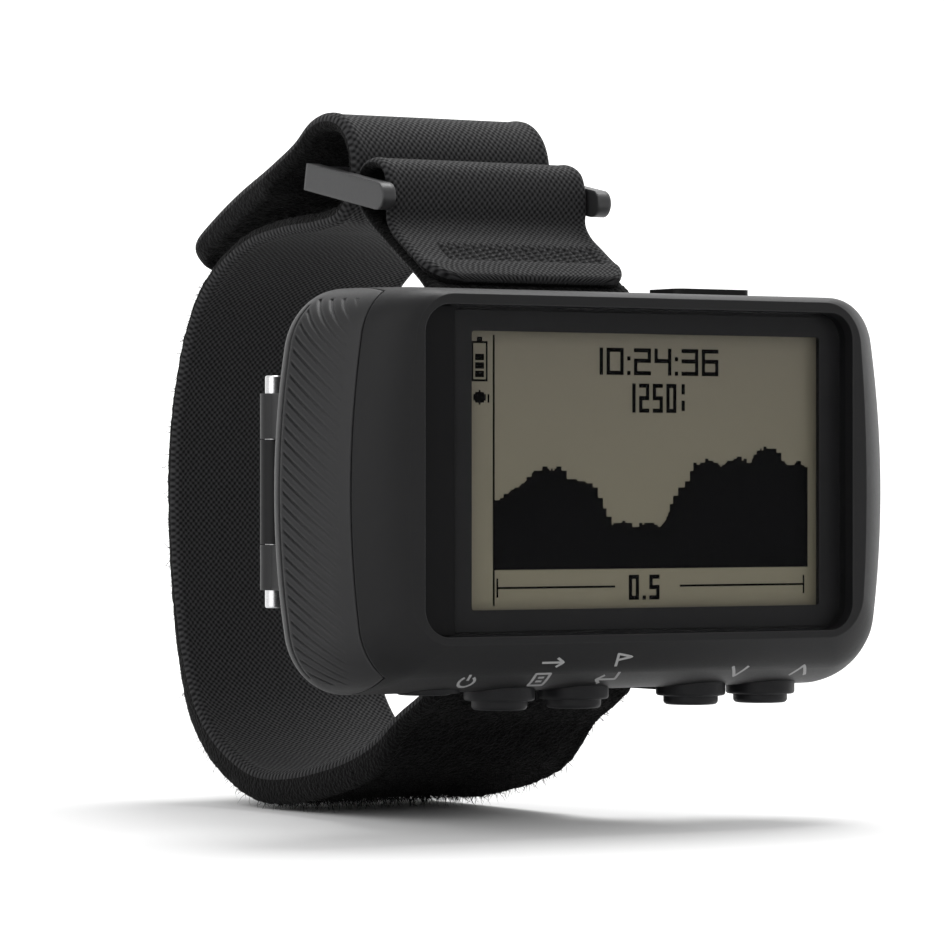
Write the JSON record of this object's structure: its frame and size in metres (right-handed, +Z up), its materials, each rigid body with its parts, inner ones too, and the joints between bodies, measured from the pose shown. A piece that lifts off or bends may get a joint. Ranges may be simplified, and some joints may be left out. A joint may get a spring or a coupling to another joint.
{
  "type": "wrist-worn satellite navigator",
  "caption": "Wrist-worn satellite navigator: rounded case with window, ribbed battery door on a pin, keys along the underside and a hook-and-loop strap.",
  "frame": {"origin": "centre of the flat back face of the case, behind the window", "axes": "+X to the right seen from the front, +Y out of the back towards the wrist, +Z up"},
  "size_m": [0.0738, 0.077, 0.0734],
  "materials": {
    "case_plastic": "fine moulded texture",
    "door_plastic": "fine moulded texture",
    "trim_plastic": "smooth",
    "window_glass": "clear, black printed border",
    "lcd": "grey-green monochrome display",
    "adhesive": "matt black tape",
    "light_guide": "milky acrylic",
    "frame_plastic": "moulded",
    "board": "solder mask",
    "ceramic": "ceramic patch",
    "tin": "tinned steel",
    "rubber": "silicone rubber",
    "key_rubber": "matt silicone rubber",
    "steel": "ground stainless pin",
    "screw_steel": "black zinc",
    "cell_jacket": "printed film jacket",
    "tray_plastic": "moulded",
    "webbing": "woven nylon with looped pile",
    "hook": "moulded hook tape",
    "ring_plastic": "moulded acetal"
  },
  "bodies": {
    "case": {"front_shell": "case_plastic", "back_shell": "case_plastic", "case_seal": "rubber", "side_trim": "trim_plastic", "window": "window_glass", "window_adhesive": "adhesive", "lcd_panel": "lcd", "backlight": "light_guide", "lcd_frame": "frame_plastic", "main_board": "board", "patch_antenna": "ceramic", "shield_can": "tin", "pressure_sensor": "tin", "usb_socket": "tin", "key_board": "board", "key_switches": "tin", "button_collars": "key_rubber", "battery_tray": "tray_plastic", "tray_contacts": "tin", "cell_upper": "cell_jacket", "cell_lower": "cell_jacket", "door_seal": "rubber", "case_screws": "screw_steel", "hinge_pin": "steel", "strap_bars": "steel", "strap_ring": "ring_plastic", "strap_ring_end": "webbing", "strap_back_run": "webbing", "strap_loop": "webbing", "strap_free_end": "webbing", "hook_patch": "hook"},
    "battery_door": {"battery_door": "door_plastic", "door_contact": "tin"},
    "usb_cap": {"usb_cap": "rubber"},
    "button_power": {"button_power": "key_rubber"},
    "button_page": {"button_page": "key_rubber"},
    "button_enter": {"button_enter": "key_rubber"},
    "button_down": {"button_down": "key_rubber"},
    "button_up": {"button_up": "key_rubber"}
  },
  "joints": [
    {"name": "battery_door_hinge", "type": "hinge", "parent": "case", "child": "battery_door", "pos_m": [-0.0335, -0.0046, 0], "axis": [0, 0, -1], "range_deg": [0, 100]},
    {"name": "usb_cap_hinge", "type": "hinge", "parent": "case", "child": "usb_cap", "pos_m": [0.0164, -0.006, 0.021], "axis": [-1, 0, 0], "range_deg": [0, 110]},
    {"name": "power_press", "type": "slide", "parent": "case", "child": "button_power", "axis": [0, 0, 1], "range_m": [0, 0.0005], "stiffness_N_per_m": 1500},
    {"name": "page_press", "type": "slide", "parent": "case", "child": "button_page", "axis": [0, 0, 1], "range_m": [0, 0.0005], "stiffness_N_per_m": 1500},
    {"name": "enter_press", "type": "slide", "parent": "case", "child": "button_enter", "axis": [0, 0, 1], "range_m": [0, 0.0005], "stiffness_N_per_m": 1500},
    {"name": "down_press", "type": "slide", "parent": "case", "child": "button_down", "axis": [0, 0, 1], "range_m": [0, 0.0005], "stiffness_N_per_m": 1500},
    {"name": "up_press", "type": "slide", "parent": "case", "child": "button_up", "axis": [0, 0, 1], "range_m": [0, 0.0005], "stiffness_N_per_m": 1500}
  ]
}
